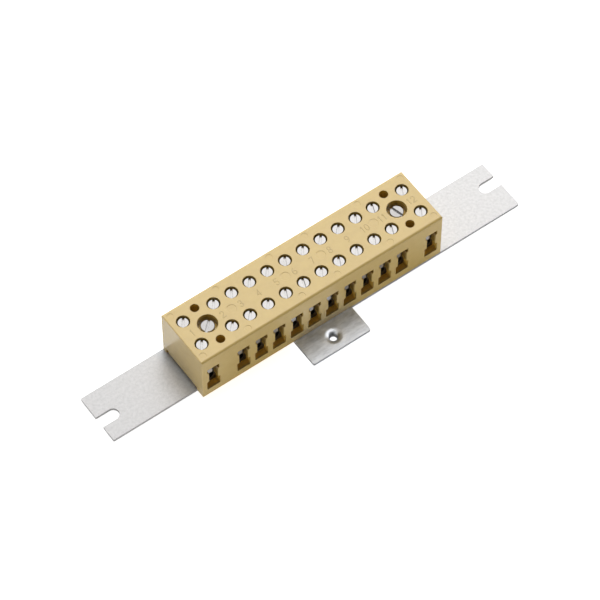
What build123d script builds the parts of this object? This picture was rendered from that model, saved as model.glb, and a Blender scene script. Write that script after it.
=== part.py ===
from build123d import *
import os

# Twelve-pole feed-through terminal strip on a sheet-metal mounting plate, in millimetres.
# X runs along the strip from pole 1 to pole 12, Y from the front to the back, and Z is up.
# The origin is on the plate's underside, at the middle of the strip.

# Poles
pole_count = 12
pole_pitch = 8.0
end_gap = 13.4              # from an end pole to its neighbour, with a fixing screw between them
row_spacing = 11.7          # between the front and the back row of clamping screws

# Housing
housing_width = 25.8        # front to back
housing_height = 23.1
end_margin = 4.9            # from the centre of an end pole to the housing's end
top_edge_radius = 1.05      # along the two long top edges
end_edge_radius = 0.35      # along the two short top edges
corner_radius = 0.3         # on the four upright corners
foot_width = 3.7            # the two long feet that stand on the plate
foot_height = 1.8
notch_offset = 2.3          # from the housing's long side to a notch in the foot's end
notch_width = 1.4           # two notches, at opposite corners
notch_height = 2.9
notch_depth = 1.8
boss_margin = 2.2           # wall round each fixing screw where the underside is relieved
screw_hole_diameter = 5.2
counterbore_diameter = 7.8
fixing_clearance = 0.2      # round the fixing screw's shank
small_hole_diameter = 3.5
small_hole_spacing = 16.3   # front to back

# Shallow round marks of the mould's ejector pins in the housing's top
mark_depth = 0.1
middle_mark_diameter = 3.7  # between the two rows of screws
edge_mark_diameter = 2.6    # along the two long edges
edge_mark_inset = 2.6       # from the housing's long side to a mark's centre
end_mark_inset = 2.3        # from the housing's end to the centre of the edge marks next to it
mark_steps = [1, 4]         # the other marks, in pole pitches to each side of the middle

# Wire entry, an I-shaped channel right through the housing at each pole
entry_floor = 3.4           # above the housing's underside
entry_height = 12.9
entry_foot_width = 5.8
entry_foot_height = 4.85
entry_neck_width = 4.0
entry_ear_width = 5.3
entry_ear_height = 2.4
entry_corner_radius = 0.5

# Contact bar, one for each pole
contact_play = 0.1          # at the sides of the channel
contact_recess = 2.75       # from the housing's face to the bar's end
contact_headroom = 0.3      # from the bar's top to the underside of the channel's ears
wire_bore_diameter = 3.6
wire_bore_height = 3.8      # from the channel's floor to the bore's axis

# Wire guard, a leaf under each clamping screw with a lip turned up over the bar's end
guard_thickness = 0.3
guard_width = 2.0
guard_length = 7.0
guard_play = 0.1
guard_lip_width = 2.2
guard_lip_height = 2.8

# Clamping screws
thread_diameter = 2.9
thread_play = 0.05
head_diameter = 4.25
head_height = 2.2
head_sink = 0.7             # from the housing's top to the head
slot_width = 0.9
slot_depth = 0.8
head_chamfer = 0.12
tip_gap = 0.1               # from the screw's tip to the guard leaf
# The way each slot was left pointing, in degrees from the X axis, from pole 1 on
front_slot_angles = [54, 48, 48, 54, 64, 69, 57, 62, 57, 59, 65, 57]
back_slot_angles = [54, 54, 57, 52, 51, 58, 54, 50, 46, 56, 68, 57]

# Fixing screws
fixing_thread_diameter = 3.4
fixing_head_diameter = 5.15
fixing_head_height = 2.4
fixing_head_sink = 1.5
fixing_slot_width = 1.0
fixing_slot_depth = 0.8
fixing_tip_rise = 0.2       # from the plate's underside to the screw's end
fixing_slot_angles = [43, 104]

# Mounting plate
plate_thickness = 1.2
left_arm_reach = 36.6       # from the housing's end to the plate's end
left_arm_width = 21.65
right_arm_reach = 37.35
right_arm_width = 22.8
plate_corner_radius = 0.5
mouth_width = 4.8           # the open slot at each end
mouth_depth = 8.35
mouth_offset = 0.5          # the slots lie this far behind the strip's middle
tab_width = 26.1
tab_offset = 0.3            # the tab's middle lies this far left of the strip's middle
tab_reach = 12.25           # from the housing's front
tab_corner_radius = 0.6
tab_hole_diameter = 2.9
tab_hole_setback = 5.75     # from the tab's edge to the hole
flare_width = 2.2           # curved funnel where the sheet is drawn down into the hole
flare_depth = 1.3
collar_wall = 0.8
collar_depth = 1.5          # below the plate's underside
collar_fillet = 0.6         # outside, where the collar leaves the plate

# Worked out from the sizes above
inner_span = (pole_count - 3) * pole_pitch
end_pole_x = inner_span / 2 + end_gap
fixing_x = (inner_span + end_gap) / 2
housing_length = 2 * (end_pole_x + end_margin)
plate_left = -housing_length / 2 - left_arm_reach
plate_right = housing_length / 2 + right_arm_reach
housing_base = plate_thickness
housing_top = housing_base + housing_height
channel_floor = housing_base + entry_floor
bore_axis_z = channel_floor + wire_bore_height
bore_top_z = bore_axis_z + wire_bore_diameter / 2
contact_height = entry_height - entry_ear_height - contact_headroom
contact_length = housing_width - 2 * contact_recess
inner_poles = [-inner_span / 2 + i * pole_pitch for i in range(pole_count - 2)]
pole_positions = [-end_pole_x] + inner_poles + [end_pole_x]
row_positions = [-row_spacing / 2, row_spacing / 2]
fixing_positions = [-fixing_x, fixing_x]
middle_marks = [side * step * pole_pitch for step in mark_steps for side in (-1, 1)]
edge_marks = middle_marks + [side * (housing_length / 2 - end_mark_inset) for side in (-1, 1)]
cut_over = 1.0              # how far a cutting solid passes a face

UP = (Align.CENTER, Align.CENTER, Align.MIN)


def upright_cylinder(diameter, x, y, z_low, z_high):
    return Pos(x, y, z_low) * Cylinder(diameter / 2, z_high - z_low, align=UP)


def rounded_top_profile(width, radius):
    """Upright rectangle of the housing's height, with its two top corners rounded."""
    outline = Pos(0, housing_height / 2) * Rectangle(width, housing_height)
    return fillet(outline.vertices().group_by(Axis.Y)[-1], radius)


def housing_block():
    """The outer form: rounded in plan, along the long top edges and along the short ones."""
    plan = extrude(RectangleRounded(housing_length, housing_width, corner_radius), housing_height)
    side = Plane.YZ * rounded_top_profile(housing_width, top_edge_radius)
    front = Plane.XZ * rounded_top_profile(housing_length, end_edge_radius)
    block = plan & extrude(side, housing_length, both=True) & extrude(front, housing_width, both=True)
    return Pos(0, 0, housing_base) * block


def mirrored_polygon(right_side):
    """A closed face from the points of its right-hand side, listed from the bottom up."""
    left_side = [(-x, z) for x, z in reversed(right_side)]
    return Polygon(*right_side, *left_side, align=None)


def pole_plane(x, y):
    """An upright plane at a pole, with its origin on the channel's floor."""
    return Plane((x, y, channel_floor), x_dir=(1, 0, 0), z_dir=(0, -1, 0))


def entry_channel(x):
    ear_bottom = entry_height - entry_ear_height
    outline = mirrored_polygon([
        (entry_foot_width / 2, 0),
        (entry_foot_width / 2, entry_foot_height),
        (entry_neck_width / 2, entry_foot_height),
        (entry_neck_width / 2, ear_bottom),
        (entry_ear_width / 2, ear_bottom),
        (entry_ear_width / 2, entry_height),
    ])
    outline = fillet(outline.vertices().group_by(Axis.Y)[0], entry_corner_radius)
    back = housing_width / 2 + cut_over
    return extrude(pole_plane(x, back) * outline, 2 * back)


def screw_hole(x, y):
    return upright_cylinder(screw_hole_diameter, x, y, channel_floor + contact_height, housing_top + cut_over)


def fixing_hole(x):
    seat = housing_top - fixing_head_sink - fixing_head_height
    shank = fixing_thread_diameter + 2 * fixing_clearance
    wide = upright_cylinder(counterbore_diameter, x, 0, seat, housing_top + cut_over)
    return wide + upright_cylinder(shank, x, 0, housing_base - cut_over, seat + cut_over)


def underside_relief():
    """The shallow hollow between the two long feet, with a boss left round each fixing screw."""
    width = housing_width - 2 * foot_width
    hollow = Pos(0, 0, housing_base) * Box(housing_length + 2 * cut_over, width, foot_height, align=UP)
    boss = fixing_thread_diameter + 2 * fixing_clearance + 2 * boss_margin
    for x in fixing_positions:
        hollow -= upright_cylinder(boss, x, 0, housing_base - cut_over, housing_base + foot_height + cut_over)
    return hollow


def end_notches():
    """A narrow notch in the end of each foot, at the back on the left and at the front on the right."""
    y = housing_width / 2 - notch_offset - notch_width / 2
    x = housing_length / 2 - notch_depth / 2 + cut_over
    notch = Box(notch_depth + 2 * cut_over, notch_width, notch_height, align=UP)
    return [Pos(side * x, -side * y, housing_base) * notch for side in (-1, 1)]


def pin_marks():
    places = [(x, 0, middle_mark_diameter) for x in middle_marks]
    edge_y = housing_width / 2 - edge_mark_inset
    places += [(x, side * edge_y, edge_mark_diameter) for x in edge_marks for side in (-1, 1)]
    return [upright_cylinder(d, x, y, housing_top - mark_depth, housing_top + cut_over) for x, y, d in places]


def make_housing():
    cuts = [underside_relief()] + end_notches() + pin_marks()
    for x in pole_positions:
        cuts.append(entry_channel(x))
        cuts += [screw_hole(x, y) for y in row_positions]
    for x in fixing_positions:
        cuts.append(fixing_hole(x))
        for side in (-1, 1):
            y = side * small_hole_spacing / 2
            cuts.append(upright_cylinder(small_hole_diameter, x, y, housing_base, housing_top + cut_over))
    return housing_block() - cuts


def contact_section():
    """The bar's section: a foot that fills the channel's foot, and a neck for the screw threads."""
    foot = entry_foot_width / 2 - contact_play
    neck = entry_neck_width / 2 - contact_play
    section = mirrored_polygon([
        (foot, 0),
        (foot, entry_foot_height - contact_play),
        (neck, entry_foot_height - contact_play),
        (neck, contact_height),
    ])
    return fillet(section.vertices().group_by(Axis.Y)[0], entry_corner_radius)


def guard_groove(side):
    """The groove in the bore's roof that holds a guard leaf, open at the bar's end."""
    length = guard_length + guard_play
    height = guard_thickness + guard_play
    y = side * (contact_length / 2 - length / 2 + cut_over / 2)
    z = bore_axis_z
    box = Box(guard_width + 2 * guard_play, length + cut_over, bore_top_z - z + height, align=UP)
    return Pos(0, y, z) * box


def make_contact():
    """A contact bar at X = 0."""
    bar = extrude(pole_plane(0, contact_length / 2) * contact_section(), contact_length)
    top = channel_floor + contact_height
    bore = Pos(0, 0, bore_axis_z) * Rot(90, 0, 0) * Cylinder(wire_bore_diameter / 2, contact_length + 2 * cut_over)
    bar -= bore
    for side in (-1, 1):
        bar -= guard_groove(side)
    for y in row_positions:
        bar -= upright_cylinder(thread_diameter + 2 * thread_play, 0, y, bore_axis_z, top + cut_over)
    return bar


def make_guard():
    """A guard leaf at X = 0 for the front screw: a tongue in the groove and a lip up the bar's end."""
    end = -contact_length / 2
    leaf = Polygon(
        (end - guard_thickness, bore_top_z),
        (end - guard_thickness + guard_length, bore_top_z),
        (end - guard_thickness + guard_length, bore_top_z + guard_thickness),
        (end, bore_top_z + guard_thickness),
        (end, bore_top_z + guard_lip_height),
        (end - guard_thickness, bore_top_z + guard_lip_height),
        align=None,
    )
    bend = leaf.vertices().group_by(Axis.Y)[0].sort_by(Axis.X)[0]
    leaf = fillet(bend, guard_thickness)
    tongue = extrude(Plane.YZ * leaf, guard_width / 2, both=True)
    lip_rise = guard_lip_height - 2 * guard_thickness
    lip = Box(guard_lip_width, guard_thickness, lip_rise, align=UP)
    return tongue + Pos(0, end - guard_thickness / 2, bore_top_z + 2 * guard_thickness) * lip


def slotted_screw(head_d, head_h, thread_d, tip_z, head_z, slot_w, slot_d):
    """A cylindrical slotted screw on the Z axis, slotted along X; head_z is the top of its head."""
    head = upright_cylinder(head_d, 0, 0, head_z - head_h, head_z)
    head = chamfer(head.edges().group_by(Axis.Z)[-1], head_chamfer)
    shank = upright_cylinder(thread_d, 0, 0, tip_z, head_z - head_h)
    slot = Pos(0, 0, head_z - slot_d) * Box(head_d + cut_over, slot_w, slot_d + cut_over, align=UP)
    return head + shank - slot


def placed(screw, x, y, angles, number):
    """A copy of a screw at a place, turned to its own slot angle."""
    return Pos(x, y, 0) * Rot(0, 0, angles[number % len(angles)]) * screw


def make_terminal_screws():
    tip = bore_top_z + guard_thickness + tip_gap
    screw = slotted_screw(head_diameter, head_height, thread_diameter, tip,
                          housing_top - head_sink, slot_width, slot_depth)
    rows = zip(row_positions, (front_slot_angles, back_slot_angles))
    return Compound(children=[placed(screw, x, y, angles, number)
                              for y, angles in rows for number, x in enumerate(pole_positions)])


def make_fixing_screws():
    screw = slotted_screw(fixing_head_diameter, fixing_head_height, fixing_thread_diameter, fixing_tip_rise,
                          housing_top - fixing_head_sink, fixing_slot_width, fixing_slot_depth)
    return Compound(children=[placed(screw, x, 0, fixing_slot_angles, number)
                              for number, x in enumerate(fixing_positions)])


def plate_outline():
    """The blank: the left arm flush with the housing's back, the right one with its front, and the tab."""
    tab_left = -tab_offset - tab_width / 2
    tab_right = -tab_offset + tab_width / 2
    tab_front = -housing_width / 2 - tab_reach
    outer = housing_width / 2
    left_inner = left_arm_width - outer
    right_inner = right_arm_width - outer
    outline = Polygon(
        (plate_left, -left_inner), (tab_left, -left_inner), (tab_left, tab_front), (tab_right, tab_front),
        (tab_right, -outer), (plate_right, -outer), (plate_right, right_inner), (tab_right, right_inner),
        (tab_right, outer), (plate_left, outer), align=None,
    )
    tips = outline.vertices().group_by(Axis.X)
    outline = fillet(tips[0] + tips[-1], plate_corner_radius)
    return fillet(outline.vertices().group_by(Axis.Y)[0], tab_corner_radius)


def plate_mouth(end, inward):
    """The open slot at one end of the plate, with a half-round bottom; inward is the way in along X, 1 or -1."""
    straight = mouth_depth - mouth_width / 2
    mouth = Pos(end + inward * straight, mouth_offset) * Circle(mouth_width / 2)
    middle = end + inward * (straight - cut_over) / 2
    return mouth + Pos(middle, mouth_offset) * Rectangle(straight + cut_over, mouth_width)


def tab_collar():
    """The collar drawn down round the tab's hole, before it is bored, on the Z axis."""
    outer = tab_hole_diameter / 2 + collar_wall
    collar = upright_cylinder(2 * outer, 0, 0, -collar_depth, 0)
    root = Pos(0, 0, -collar_fillet) * Cylinder(outer + collar_fillet, collar_fillet, align=UP)
    root -= Pos(0, 0, -collar_fillet) * Torus(outer + collar_fillet, collar_fillet)
    return collar + root


def tab_funnel():
    """What the hole removes: a bore, and a funnel of elliptical section that opens onto the plate's top."""
    bore = tab_hole_diameter / 2
    low = plate_thickness - flare_depth
    section = Polygon((0, low), (bore + flare_width, low), (bore + flare_width, plate_thickness),
                      (0, plate_thickness), align=None)
    section -= Pos(bore + flare_width, low) * Ellipse(flare_width, flare_depth)
    funnel = revolve(Plane.XZ * section, Axis.Z)
    return funnel + upright_cylinder(tab_hole_diameter, 0, 0, -collar_depth - cut_over, low + cut_over)


def make_plate():
    plate = extrude(plate_outline(), plate_thickness)
    for end, inward in ((plate_left, 1), (plate_right, -1)):
        plate -= extrude(plate_mouth(end, inward), plate_thickness)
    threaded = fixing_thread_diameter + 2 * thread_play
    for x in fixing_positions:
        plate -= upright_cylinder(threaded, x, 0, -cut_over, plate_thickness + cut_over)
    place = Pos(-tab_offset, -housing_width / 2 - tab_reach + tab_hole_setback, 0)
    return plate + place * tab_collar() - place * tab_funnel()


def build():
    nodes = {
        "housing": make_housing(),
        "mounting_plate": make_plate(),
        "terminal_screws": make_terminal_screws(),
        "fixing_screws": make_fixing_screws(),
    }
    contact = make_contact()
    front_guard = make_guard()
    back_guard = Rot(0, 0, 180) * front_guard
    for number, x in enumerate(pole_positions, start=1):
        nodes[f"contact_{number:02d}"] = Pos(x, 0, 0) * contact
        nodes[f"wire_guard_front_{number:02d}"] = Pos(x, 0, 0) * front_guard
        nodes[f"wire_guard_back_{number:02d}"] = Pos(x, 0, 0) * back_guard
    return nodes


os.makedirs("parts", exist_ok=True)
for name, shape in build().items():
    export_step(shape, f"parts/{name}.step")
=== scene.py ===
import math

import bmesh
import bpy
from mathutils import Matrix, Vector


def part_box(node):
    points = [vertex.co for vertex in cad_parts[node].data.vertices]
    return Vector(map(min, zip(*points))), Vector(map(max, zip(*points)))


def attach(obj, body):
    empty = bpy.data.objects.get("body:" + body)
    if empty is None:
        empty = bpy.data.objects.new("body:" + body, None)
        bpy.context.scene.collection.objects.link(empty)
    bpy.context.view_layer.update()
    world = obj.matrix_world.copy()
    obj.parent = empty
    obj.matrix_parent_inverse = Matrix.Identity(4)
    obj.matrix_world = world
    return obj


# Twelve-pole terminal strip on its mounting plate. Lengths are in metres, unless a comment says millimetres.

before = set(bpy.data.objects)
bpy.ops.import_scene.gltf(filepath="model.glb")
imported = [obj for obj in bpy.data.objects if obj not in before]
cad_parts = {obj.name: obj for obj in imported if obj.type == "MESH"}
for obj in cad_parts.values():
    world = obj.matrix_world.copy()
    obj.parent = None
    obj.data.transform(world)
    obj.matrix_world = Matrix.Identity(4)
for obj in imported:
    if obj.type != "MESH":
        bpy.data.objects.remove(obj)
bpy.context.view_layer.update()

MM = 0.001
POLES = 12

housing_low, housing_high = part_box("housing")
plate_low, plate_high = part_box("mounting_plate")
housing_top = housing_high.z

# Heights of the wire entries' top and of the top of their wide foot
ENTRY_TOP = plate_high.z + 16.3 * MM
FOOT_TOP = plate_high.z + 8.25 * MM

# The hole in the plate's tab, and the radius of the funnel round it
TAB_HOLE = (-0.3 * MM, plate_low.y + 5.75 * MM, 0.0)
FUNNEL_RADIUS = 3.65 * MM


# Shader nodes

# The part of a noise value's range that it mostly keeps to
NOISE_LOW = 0.3
NOISE_HIGH = 0.7

# A Mix node's colour sockets share their names with its other kinds, so they are taken by number
FIRST_COLOUR = 6
SECOND_COLOUR = 7
MIXED_COLOUR = 2

BUMP_STRENGTH = 0.5


def set_inputs(tree, node, inputs):
    """Sets a node's inputs, each to a constant or to another node's output socket."""
    for key, value in inputs.items():
        if isinstance(value, bpy.types.NodeSocket):
            tree.links.new(value, node.inputs[key])
        else:
            node.inputs[key].default_value = value


def make_node(tree, kind, inputs=None, **settings):
    """Adds a shader node with its settings and inputs."""
    made = tree.nodes.new("ShaderNode" + kind)
    for key, value in settings.items():
        setattr(made, key, value)
    set_inputs(tree, made, inputs or {})
    return made


def new_material(name):
    """A material with an output and a Principled shader. Returns it, its tree and the shader."""
    material = bpy.data.materials.new(name)
    material.use_nodes = True
    tree = material.node_tree
    tree.nodes.clear()
    shader = make_node(tree, "BsdfPrincipled")
    make_node(tree, "OutputMaterial", {"Surface": shader.outputs["BSDF"]})
    return material, tree, shader


def place_of(tree):
    """The X, Y and Z sockets of the object coordinates, in metres."""
    return make_node(tree, "SeparateXYZ", {0: make_node(tree, "TexCoord").outputs["Object"]}).outputs


def millimetres(tree, stretch=(1.0, 1.0, 1.0)):
    """Object coordinates in millimetres. A noise is drawn out along an axis whose stretch is below 1."""
    place = make_node(tree, "TexCoord").outputs["Object"]
    scale = tuple(s / MM for s in stretch)
    return make_node(tree, "Mapping", {"Vector": place, "Scale": scale}).outputs["Vector"]


def noise(tree, coordinates, scale, detail, rough):
    """A noise value at the coordinates."""
    inputs = {"Vector": coordinates, "Scale": scale, "Detail": detail, "Roughness": rough}
    return make_node(tree, "TexNoise", inputs).outputs["Fac"]


def ramp(tree, value, colours):
    """Goes through the colours, evenly spaced, over the useful middle of a noise value."""
    made = make_node(tree, "ValToRGB", {"Fac": value})
    elements = made.color_ramp.elements
    while len(elements) < len(colours):
        elements.new(0.5)
    step = (NOISE_HIGH - NOISE_LOW) / (len(colours) - 1)
    for i, (element, colour) in enumerate(zip(elements, colours)):
        element.position = NOISE_LOW + i * step
        element.color = (*colour, 1.0)
    return made.outputs["Color"]


def spread(tree, value, low, high):
    """Maps the useful middle of a noise value onto low to high."""
    inputs = {"Value": value, "From Min": NOISE_LOW, "From Max": NOISE_HIGH, "To Min": low, "To Max": high}
    return make_node(tree, "MapRange", inputs).outputs["Result"]


def blend(tree, value, start, end, low=0.0, high=1.0):
    """Goes smoothly from low to high while value goes from start to end."""
    inputs = {"Value": value, "From Min": start, "From Max": end, "To Min": low, "To Max": high}
    return make_node(tree, "MapRange", inputs, interpolation_type="SMOOTHSTEP").outputs["Result"]


def choose(tree, mask, off, on):
    """off where the mask is 0 and on where it is 1, with a smooth change between them."""
    return blend(tree, mask, 0.0, 1.0, off, on)


def calculate(tree, operation, *values):
    """The result of a Math node."""
    return make_node(tree, "Math", dict(enumerate(values)), operation=operation).outputs[0]


def product(tree, first, second):
    """Two values multiplied."""
    return calculate(tree, "MULTIPLY", first, second)


def mixed(tree, share, first, second, kind="MIX"):
    """Goes from the first colour to the second, or to what kind makes of both, as far as share says."""
    inputs = {"Factor": share, FIRST_COLOUR: first, SECOND_COLOUR: second}
    return make_node(tree, "Mix", inputs, data_type="RGBA", blend_type=kind).outputs[MIXED_COLOUR]


def tinted(tree, colour, tint, share):
    """Multiplies a colour by a tint, as far as share says."""
    return mixed(tree, share, colour, (*tint, 1.0), "MULTIPLY")


def soft_edges(tree, radius):
    """Normals rounded over at the edges."""
    return make_node(tree, "Bevel", {"Radius": radius}, samples=4).outputs["Normal"]


def bump(tree, height, depth, normal):
    """Adds small bumps, of a depth in metres, to the normals."""
    inputs = {"Height": height, "Distance": depth, "Strength": BUMP_STRENGTH, "Normal": normal}
    return make_node(tree, "Bump", inputs).outputs["Normal"]


# Housing and numerals

THERMOSET_TONES = ((0.571, 0.403, 0.124), (0.590, 0.419, 0.131), (0.603, 0.430, 0.136))
THERMOSET_ROUGHNESS = (0.17, 0.24)
# The numerals' tones are darker than the housing's: painted shade for their low rounded strokes
NUMERAL_PAINTED_SHADE = 0.84

# Painted shade and light inside the housing, standing in for its shade and bounce light: shade everywhere
# inside, light at the rims of the holes in its top, shade at the height of the wire entries' neck and light
# at their foot
RECESS_PAINTED_SHADE = (0.92, 0.88, 0.70)
RIM_PAINTED_LIGHT = (1.28, 1.28, 0.98)
NECK_PAINTED_SHADE = (0.58, 0.53, 0.46)
FOOT_PAINTED_LIGHT = (1.58, 1.48, 1.12)

# Depths below the housing's faces at which this painted shade and light sets in, and at which it is full
LONG_SIDE_FADE = (0.1 * MM, 1.2 * MM)
END_FADE = (0.3 * MM, 0.6 * MM)
TOP_FADE = (0.1 * MM, 0.4 * MM)
RIM_FADE = (2.2 * MM, 0.9 * MM)

# Heights at which the painted shade and light of the wire entries set in, and at which they are full
ENTRY_FADE = (ENTRY_TOP + 0.4 * MM, ENTRY_TOP + 0.1 * MM)
NECK_FADE = (FOOT_TOP - 1.0 * MM, FOOT_TOP + 1.5 * MM)


def inside_housing(tree, place):
    """1 inside the housing's outline, and 0 on its long sides, its ends and its top."""
    start, full = LONG_SIDE_FADE
    front = blend(tree, place["Y"], housing_low.y + start, housing_low.y + full)
    back = blend(tree, place["Y"], housing_high.y - start, housing_high.y - full)
    start, full = END_FADE
    ends = blend(tree, calculate(tree, "ABSOLUTE", place["X"]), housing_high.x - start, housing_high.x - full)
    start, full = TOP_FADE
    top = blend(tree, place["Z"], housing_top - start, housing_top - full)
    return product(tree, product(tree, front, back), product(tree, ends, top))


def recess_tints(tree, tone):
    """Paints shade and light onto a tone inside the housing, by the part of its holes."""
    place = place_of(tree)
    inside = inside_housing(tree, place)
    start, full = RIM_FADE
    rim = blend(tree, place["Z"], housing_top - start, housing_top - full)
    entry = blend(tree, place["Z"], *ENTRY_FADE)
    neck = blend(tree, place["Z"], *NECK_FADE)
    foot = choose(tree, neck, 1.0, 0.0)
    tone = tinted(tree, tone, RECESS_PAINTED_SHADE, inside)
    tone = tinted(tree, tone, RIM_PAINTED_LIGHT, product(tree, inside, rim))
    tone = tinted(tree, tone, NECK_PAINTED_SHADE, product(tree, inside, product(tree, entry, neck)))
    return tinted(tree, tone, FOOT_PAINTED_LIGHT, product(tree, inside, foot))


def thermoset(name, depth=1.0):
    """Tan moulded thermoset, faintly mottled and semi-gloss, with painted shade and light inside the housing.
    depth multiplies its tones, and below 1 it is a painted shade.
    """
    material, tree, shader = new_material(name)
    where = millimetres(tree)
    mottle = noise(tree, where, scale=0.35, detail=4.0, rough=0.6)
    grain = noise(tree, where, scale=1.6, detail=3.0, rough=0.5)
    tone = ramp(tree, mottle, [[depth * part for part in colour] for colour in THERMOSET_TONES])
    set_inputs(tree, shader, {
        # Base colour with painted shade and light inside the housing
        "Base Color": recess_tints(tree, tone),
        "IOR": 1.85,
        "Roughness": spread(tree, mottle, *THERMOSET_ROUGHNESS),
        "Normal": bump(tree, grain, depth=0.006 * MM, normal=soft_edges(tree, radius=0.15 * MM)),
    })
    return material


# Mounting plate

# Its tones from dark to bright, and what the arms' tones are multiplied by at the left and at the right: a
# painted light, brighter to the right
ARM_TONES = ((0.505, 0.505, 0.505), (0.69, 0.685, 0.69))
# The tab's tones are its own streaked grey plus a painted light: brighter and cooler than the arms', against
# the housing's shade and tan bounce
TAB_TONES_AND_PAINTED_LIGHT = ((0.50, 0.525, 0.56), (0.83, 0.86, 0.91))
ARM_PAINTED_LIGHT_LEFT = 0.95
ARM_PAINTED_LIGHT_RIGHT = 1.06

# Painted shade: the left arm is darker and cooler next to the housing, where the housing shades it. Distances
# from the housing's left end: where this sets in, where it is full, and where it has ended again under the
# housing
SHADE_TINT = (0.80, 0.835, 0.88)
SHADE_START = 5.0 * MM
SHADE_FULL = 0.2 * MM
SHADE_END = 1.0 * MM

# The sheared edges are darker. The tint sets in where the upright part of the surface's normal is below the
# first value, and is full where it is below the second
SHEARED_TINT = (0.74, 0.72, 0.71)
SHEARED_START = 0.6
SHEARED_FULL = 0.3

# The looks change from the arms' to the tab's at the housing's front, this far to either side of it
TAB_FADE = 0.5 * MM

# The funnel of the tab's hole is burnished. This sets in outside its edge and is full inside its edge
BURNISH_OUTSIDE = 2.0 * MM
BURNISH_INSIDE = 1.5 * MM

ARM_METALLIC = 0.27
TAB_METALLIC = 0.45
FUNNEL_METALLIC = 0.85
SHEET_ROUGHNESS = (0.30, 0.42)
FUNNEL_ROUGHNESS = 0.32


def in_funnel(tree, place):
    """1 in the funnel of the tab's hole, fading out round it."""
    flat = make_node(tree, "CombineXYZ", {"X": place["X"], "Y": place["Y"]}).outputs[0]
    away = make_node(tree, "VectorMath", {0: flat, 1: TAB_HOLE}, operation="DISTANCE").outputs["Value"]
    return blend(tree, away, FUNNEL_RADIUS + BURNISH_OUTSIDE, FUNNEL_RADIUS - BURNISH_INSIDE)


def on_sheared_edges(tree):
    """1 on the faces that stand upright."""
    normal = make_node(tree, "NewGeometry").outputs["Normal"]
    upward = make_node(tree, "SeparateXYZ", {0: normal}).outputs["Z"]
    return blend(tree, calculate(tree, "ABSOLUTE", upward), SHEARED_START, SHEARED_FULL)


def arm_tones(tree, place, mottle):
    """The mottled tones of the plate's arms, with painted shade beside the housing's left end and painted
    light that brightens them to the right.
    """
    # Painted shade on the left arm next to the housing
    near = blend(tree, place["X"], housing_low.x - SHADE_START, housing_low.x - SHADE_FULL)
    outside = blend(tree, place["X"], housing_low.x + SHADE_END, housing_low.x)
    # Painted light: the arms brighten from the left to the right
    side = blend(tree, place["X"], housing_low.x, housing_high.x, ARM_PAINTED_LIGHT_LEFT, ARM_PAINTED_LIGHT_RIGHT)
    arms = tinted(tree, ramp(tree, mottle, ARM_TONES), SHADE_TINT, product(tree, near, outside))
    return make_node(tree, "VectorMath", {0: arms, "Scale": side}, operation="SCALE").outputs[0]


def sheet_zinc(name):
    """Zinc-plated sheet: mottled arms with painted shade beside the housing and painted light to the right, a
    streaked tab made brighter and cooler with painted light, a burnished funnel, and dark sheared edges.
    """
    material, tree, shader = new_material(name)
    place = place_of(tree)
    mottle = noise(tree, millimetres(tree), scale=0.85, detail=6.0, rough=0.72)
    streak = noise(tree, millimetres(tree, (0.3, 1.0, 1.0)), scale=0.7, detail=6.0, rough=0.75)
    tab = blend(tree, place["Y"], housing_low.y + TAB_FADE, housing_low.y - TAB_FADE)
    funnel = in_funnel(tree, place)
    grain = choose(tree, tab, mottle, streak)
    tones = mixed(tree, tab, arm_tones(tree, place, mottle), ramp(tree, streak, TAB_TONES_AND_PAINTED_LIGHT))
    set_inputs(tree, shader, {
        "Base Color": tinted(tree, tones, SHEARED_TINT, on_sheared_edges(tree)),
        "Metallic": choose(tree, funnel, choose(tree, tab, ARM_METALLIC, TAB_METALLIC), FUNNEL_METALLIC),
        "Roughness": choose(tree, funnel, spread(tree, grain, *SHEET_ROUGHNESS), FUNNEL_ROUGHNESS),
        "Normal": bump(tree, grain, depth=0.03 * MM, normal=soft_edges(tree, radius=0.12 * MM)),
    })
    return material


# Screws, contacts and guards

# How far the roughness of a metal varies, down and up
ROUGHNESS_SPREAD = 0.06


def metal(name, dark, bright, roughness, grain_scale, grain_depth, edge, stretch=(1.0, 1.0, 1.0)):
    """A plated metal with a grain, which varies between two tones."""
    material, tree, shader = new_material(name)
    grain = noise(tree, millimetres(tree, stretch), grain_scale, detail=6.0, rough=0.75)
    cloud = noise(tree, millimetres(tree), scale=0.3, detail=3.0, rough=0.5)
    set_inputs(tree, shader, {
        "Base Color": mixed(tree, 0.5, ramp(tree, grain, (dark, bright)), ramp(tree, cloud, (dark, bright))),
        "Metallic": 1.0,
        "Roughness": spread(tree, grain, roughness - ROUGHNESS_SPREAD, roughness + ROUGHNESS_SPREAD),
        "Normal": bump(tree, grain, grain_depth, soft_edges(tree, edge)),
    })
    return material


plastic = thermoset("housing_thermoset")
# The numerals' thermoset is darker: painted shade
numeral_plastic_painted_shade = thermoset("numeral_thermoset_painted_shade", NUMERAL_PAINTED_SHADE)
plate_metal = sheet_zinc("plate_zinc")
screw_metal = metal("screw_zinc", dark=(0.38, 0.375, 0.375), bright=(0.45, 0.445, 0.445), roughness=0.24,
                    grain_scale=1.5, grain_depth=0.008 * MM, edge=0.12 * MM)
fixing_metal = metal("fixing_zinc", dark=(0.31, 0.305, 0.305), bright=(0.39, 0.385, 0.385), roughness=0.28,
                     grain_scale=1.5, grain_depth=0.008 * MM, edge=0.12 * MM)
# The contacts' tin is near black: painted shade for the dark inside of the wire entries
contact_metal_painted_shade = metal("contact_tin_painted_shade", dark=(0.07, 0.065, 0.055), bright=(0.13, 0.12, 0.10), roughness=0.36,
                      grain_scale=2.0, grain_depth=0.01 * MM, edge=0.10 * MM, stretch=(1.0, 0.2, 1.0))
guard_metal = metal("guard_steel", dark=(0.84, 0.82, 0.81), bright=(0.92, 0.90, 0.89), roughness=0.24,
                    grain_scale=2.5, grain_depth=0.008 * MM, edge=0.06 * MM, stretch=(0.3, 1.0, 1.0))


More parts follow.
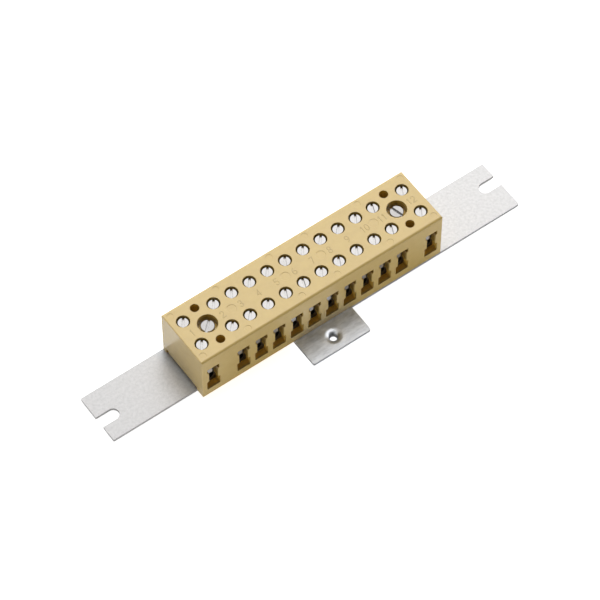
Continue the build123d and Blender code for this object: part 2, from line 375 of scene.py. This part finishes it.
def finish_for(name):
    """The material of a CAD node, by its name."""
    if name == "housing":
        return plastic
    if name == "mounting_plate":
        return plate_metal
    if name == "fixing_screws":
        return fixing_metal
    if name == "terminal_screws":
        return screw_metal
    if name.startswith("contact"):
        return contact_metal_painted_shade
    return guard_metal


for name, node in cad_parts.items():
    for slot in node.material_slots:
        slot.material = finish_for(name)


# Raised numerals, one at each pole between its two screws

# Millimetres
NUMERAL_WIDTH = 1.5
NUMERAL_HEIGHT = 2.7
NUMERAL_PITCH = 1.9
STROKE_HALF_WIDTH = 0.23
STROKE_RISE = 0.06
END_POLE_X = 49.4
INNER_POLE_X = 36.0
POLE_PITCH = 8.0

# Half of a stroke's section, from its foot to its crest: shares of the half width and of the rise
STROKE_SECTION = [(1.0, -0.5), (0.92, 0.35), (0.6, 0.8), (0.0, 1.0)]

UPWARD = Vector((0, 0, 1))

# Points nearer to each other than this, in metres, are one
SAME_POINT = 1e-7


def bow(x, y, rx, ry, start, end, steps=14):
    """Points on an arc, from one angle in degrees to another."""
    angles = [math.radians(start + (end - start) * i / steps) for i in range(steps + 1)]
    return [(x + rx * math.cos(a), y + ry * math.sin(a)) for a in angles]


# Each digit's strokes, in a box from (-1, -1) to (1, 1)
DIGITS = {
    "0": [bow(0, 0, 0.95, 1.0, 90, 450, 28)],
    "1": [[(0.1, -1), (0.1, 1)], [(0.1, 1), (-0.45, 0.62)]],
    "2": [bow(0, 0.45, 0.9, 0.55, 165, -30) + [(-0.9, -1)], [(-0.9, -1), (0.95, -1)]],
    "3": [bow(0, 0.48, 0.8, 0.52, 150, -90), bow(0, -0.5, 0.92, 0.52, 90, -150)],
    "4": [[(0.4, -1), (0.4, 1)], [(0.4, 1), (-0.95, -0.45)], [(-0.95, -0.45), (1.0, -0.45)]],
    "5": [[(0.8, 1), (-0.7, 1)], [(-0.7, 1), (-0.8, 0.12)], bow(0, -0.38, 0.92, 0.62, 130, -145)],
    "6": [bow(0.55, -0.35, 1.5, 1.35, 97, 178), bow(0, -0.42, 0.93, 0.58, 180, -180, 24)],
    "7": [[(-0.9, 1), (0.95, 1)], [(0.95, 1), (-0.25, -1)]],
    "8": [bow(0, 0.5, 0.78, 0.5, 90, 450, 22), bow(0, -0.5, 0.93, 0.5, 90, 450, 22)],
    "9": [bow(-0.55, 0.35, 1.5, 1.35, -83, -2), bow(0, 0.42, 0.93, 0.58, 0, 360, 24)],
}


def add_object(name, data):
    """A new object in the scene."""
    made = bpy.data.objects.new(name, data)
    bpy.context.scene.collection.objects.link(made)
    return made


def section_point(mesh, here, outward, across, up):
    """A vertex of a stroke's section, which lies outward of the point that the stroke passes."""
    rise = Vector((0, 0, up * STROKE_RISE * MM))
    return mesh.verts.new(here + outward * across * STROKE_HALF_WIDTH * MM + rise)


def section_row(mesh, here, side):
    """Vertices across a stroke, from one foot over its crest to the other."""
    profile = STROKE_SECTION + [(-across, up) for across, up in reversed(STROKE_SECTION[:-1])]
    return [section_point(mesh, here, side, across, up) for across, up in profile]


def round_end(mesh, here, along, steps=6):
    """Pairs of half rows that turn round the end of a stroke."""
    crest = mesh.verts.new(here + Vector((0, 0, STROKE_RISE * MM)))
    side = along.cross(UPWARD)
    halves = []
    for i in range(steps + 1):
        angle = math.pi * i / steps
        out = side * math.cos(angle) + along * math.sin(angle)
        half = [section_point(mesh, here, out, across, up) for across, up in STROKE_SECTION[:-1]]
        halves.append(half + [crest])
    return list(zip(halves, halves[1:]))


def stroke(mesh, points, level):
    """A low rounded ridge along points, with round ends. All in metres."""
    points = [Vector((x, y, level)) for x, y in points]
    closed = (points[0] - points[-1]).length < SAME_POINT
    if closed:
        points.pop()
    count = len(points)
    rows = []
    for i, here in enumerate(points):
        before = points[i - 1] if i or closed else here
        after = points[(i + 1) % count] if i + 1 < count or closed else here
        along = (after - before).normalized()
        rows.append(section_row(mesh, here, along.cross(UPWARD)))
    pairs = list(zip(rows, rows[1:]))
    if closed:
        pairs.append((rows[-1], rows[0]))
    else:
        pairs += round_end(mesh, points[0], (points[0] - points[1]).normalized())
        pairs += round_end(mesh, points[-1], (points[-1] - points[-2]).normalized())
    for first, second in pairs:
        for j in range(len(first) - 1):
            corners = [first[j], second[j], second[j + 1], first[j + 1]]
            if len(set(corners)) > 2:
                mesh.faces.new(list(dict.fromkeys(corners)))


def make_numeral(number, x):
    """A pole's number, centred on its pole, whose X is in millimetres, and read from the front."""
    mesh = bmesh.new()
    figures = str(number)
    for place, figure in enumerate(figures):
        centre = x + (place - (len(figures) - 1) / 2) * NUMERAL_PITCH
        for points in DIGITS[figure]:
            scaled = [((centre + px * NUMERAL_WIDTH / 2) * MM, py * NUMERAL_HEIGHT / 2 * MM)
                      for px, py in points]
            stroke(mesh, scaled, housing_top)
    bmesh.ops.remove_doubles(mesh, verts=mesh.verts, dist=SAME_POINT)
    bmesh.ops.recalc_face_normals(mesh, faces=mesh.faces)
    data = bpy.data.meshes.new(f"numeral_{number:02d}")
    mesh.to_mesh(data)
    mesh.free()
    data.materials.append(numeral_plastic_painted_shade)
    for face in data.polygons:
        face.use_smooth = True
    piece = add_object(data.name, data)
    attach(piece, "root")


inner_poles = [-INNER_POLE_X + POLE_PITCH * i for i in range(POLES - 2)]
for number, place in enumerate([-END_POLE_X, *inner_poles, END_POLE_X], start=1):
    make_numeral(number, place)


# Floor

FLOOR_HALF = 3.0
WHITE = (1.0, 1.0, 1.0, 1.0)

# The floor's own glow: to the camera, as a light on the object behind and in front of the strip's middle,
# and in reflections to the left of it
FLOOR_GLOW = 0.86
FLOOR_LIGHT_BACK = 0.25
FLOOR_LIGHT_FRONT = 0.77
FLOOR_MIRROR_LEFT = 0.30

# The share of light that the floor sends back, and that share in reflections in front of the strip's middle
FLOOR_SHARE = 0.85
FLOOR_SHARE_FRONT = 0.52

# Where on the floor these change, along Y or X
LIGHT_CHANGE_Y = (0.0, -0.018)
SHARE_CHANGE_Y = (0.0, -0.02)
MIRROR_CHANGE_X = (-0.03, -0.055)


def ray_kinds(tree):
    """Two sockets: 1 for a camera ray, and 1 for a glossy or transmission ray that isn't one."""
    ray = make_node(tree, "LightPath").outputs
    camera_ray = ray["Is Camera Ray"]
    direct = calculate(tree, "MAXIMUM", camera_ray, ray["Is Glossy Ray"])
    seen = calculate(tree, "MAXIMUM", direct, ray["Is Transmission Ray"])
    return camera_ray, calculate(tree, "SUBTRACT", seen, camera_ray)


def floor_material():
    """White, with a glow and a share of light that depend on the kind of ray and on the place."""
    material = bpy.data.materials.new("floor_white")
    material.use_nodes = True
    tree = material.node_tree
    tree.nodes.clear()
    camera_ray, mirror_ray = ray_kinds(tree)
    place = place_of(tree)
    lit = blend(tree, place["Y"], *LIGHT_CHANGE_Y, FLOOR_LIGHT_BACK, FLOOR_LIGHT_FRONT)
    mirrored = blend(tree, place["X"], *MIRROR_CHANGE_X, 0.0, FLOOR_MIRROR_LEFT)
    glow = choose(tree, camera_ray, choose(tree, mirror_ray, lit, mirrored), FLOOR_GLOW)
    mirrored_share = blend(tree, place["Y"], *SHARE_CHANGE_Y, FLOOR_SHARE, FLOOR_SHARE_FRONT)
    share = choose(tree, mirror_ray, FLOOR_SHARE, mirrored_share)
    grey = make_node(tree, "CombineColor", {0: share, 1: share, 2: share})
    surface = make_node(tree, "BsdfDiffuse", {"Color": grey.outputs[0]})
    lamp = make_node(tree, "Emission", {"Color": WHITE, "Strength": glow})
    both = make_node(tree, "AddShader", {0: surface.outputs[0], 1: lamp.outputs[0]})
    make_node(tree, "OutputMaterial", {"Surface": both.outputs[0]})
    return material


def make_floor():
    """A pale floor at the level of the object's lowest point."""
    mesh = bpy.data.meshes.new("floor")
    corners = [(-FLOOR_HALF, -FLOOR_HALF), (FLOOR_HALF, -FLOOR_HALF), (FLOOR_HALF, FLOOR_HALF),
               (-FLOOR_HALF, FLOOR_HALF)]
    mesh.from_pydata([(x, y, plate_low.z) for x, y in corners], [], [(0, 1, 2, 3)])
    mesh.materials.append(floor_material())
    add_object("floor", mesh)


# Surround

# Its strength as a light from the front and from the back, and the share of that from the left
WORLD_FRONT = 0.11
WORLD_BACK = 0.55
WORLD_LEFT = 0.92

# In reflections it is a tent, a little warm, with a strength at each side and a share of that in front
TENT_COLOUR = (1.0, 0.985, 0.965, 1.0)
TENT_LEFT = 0.85
TENT_RIGHT = 2.20
TENT_FRONT = 0.05

# Directions between which these change: the X or Y part of the unit vector that points there
WORLD_CHANGE_Y = (-0.2, 0.6)
WORLD_CHANGE_X = (-0.6, 0.2)
TENT_CHANGE_X = (-0.35, 0.45)
TENT_CHANGE_Y = (-0.6, -0.2)


def make_world():
    """A soft surround: white to the camera, a dim light, and in reflections a tent that is dark in front."""
    world = bpy.data.worlds.new("studio")
    bpy.context.scene.world = world
    world.use_nodes = True
    tree = world.node_tree
    tree.nodes.clear()
    camera_ray, mirror_ray = ray_kinds(tree)
    direction = make_node(tree, "TexCoord").outputs["Generated"]
    parts = make_node(tree, "SeparateXYZ", {0: direction}).outputs
    across = blend(tree, parts["X"], *TENT_CHANGE_X, TENT_LEFT, TENT_RIGHT)
    front = blend(tree, parts["Y"], *TENT_CHANGE_Y, TENT_FRONT, 1.0)
    tent = make_node(tree, "Background", {"Color": TENT_COLOUR, "Strength": product(tree, across, front)})
    dome = blend(tree, parts["Y"], *WORLD_CHANGE_Y, WORLD_FRONT, WORLD_BACK)
    left = blend(tree, parts["X"], *WORLD_CHANGE_X, WORLD_LEFT, 1.0)
    strength = choose(tree, camera_ray, product(tree, dome, left), 1.0)
    light = make_node(tree, "Background", {"Color": WHITE, "Strength": strength})
    both = make_node(tree, "MixShader", {0: mirror_ray, 1: light.outputs[0], 2: tent.outputs[0]})
    make_node(tree, "OutputWorld", {"Surface": both.outputs[0]})


# Lamp and camera

KEY_PLACE = (0.17, 0.38, 1.05)
KEY_SIZE = 0.7
KEY_POWER = 9.9

CAMERA_AZIMUTH = math.radians(-35.91)
CAMERA_ELEVATION = math.radians(57.15)
CAMERA_DISTANCE = 1.1971

# How far to the right of the middle of the housing's top, and above it, the optical axis passes
AIM_RIGHT = -0.00117
AIM_UP = -0.01259

# Millimetres
SENSOR_WIDTH = 36.0
FOCAL_LENGTH = 196.53


def make_key_light():
    """A square area light that faces the strip. Reflections show the tent in its place."""
    light = bpy.data.lights.new("key", "AREA")
    light.size = KEY_SIZE
    light.energy = KEY_POWER
    lamp = add_object("key", light)
    lamp.location = KEY_PLACE
    towards_strip = Vector((0, 0, housing_top)) - Vector(KEY_PLACE)
    lamp.rotation_euler = towards_strip.to_track_quat("-Z", "Y").to_euler()
    lamp.visible_glossy = False


def make_camera():
    """The photograph's view, from the front left and above."""
    right = Vector((math.cos(CAMERA_AZIMUTH), math.sin(CAMERA_AZIMUTH), 0))
    back = Vector((math.sin(CAMERA_AZIMUTH) * math.cos(CAMERA_ELEVATION),
                   -math.cos(CAMERA_AZIMUTH) * math.cos(CAMERA_ELEVATION), math.sin(CAMERA_ELEVATION)))
    up = back.cross(right)
    data = bpy.data.cameras.new("camera")
    data.sensor_width = SENSOR_WIDTH
    data.lens = FOCAL_LENGTH
    data.clip_start = 0.05
    camera = add_object("camera", data)
    turn = Matrix((right, up, back)).transposed().to_4x4()
    place = Vector((0, 0, housing_top)) + right * AIM_RIGHT + up * AIM_UP + back * CAMERA_DISTANCE
    camera.matrix_world = Matrix.Translation(place) @ turn
    bpy.context.scene.camera = camera


make_floor()
make_world()
make_key_light()
make_camera()

bpy.context.scene.view_settings.view_transform = "Standard"
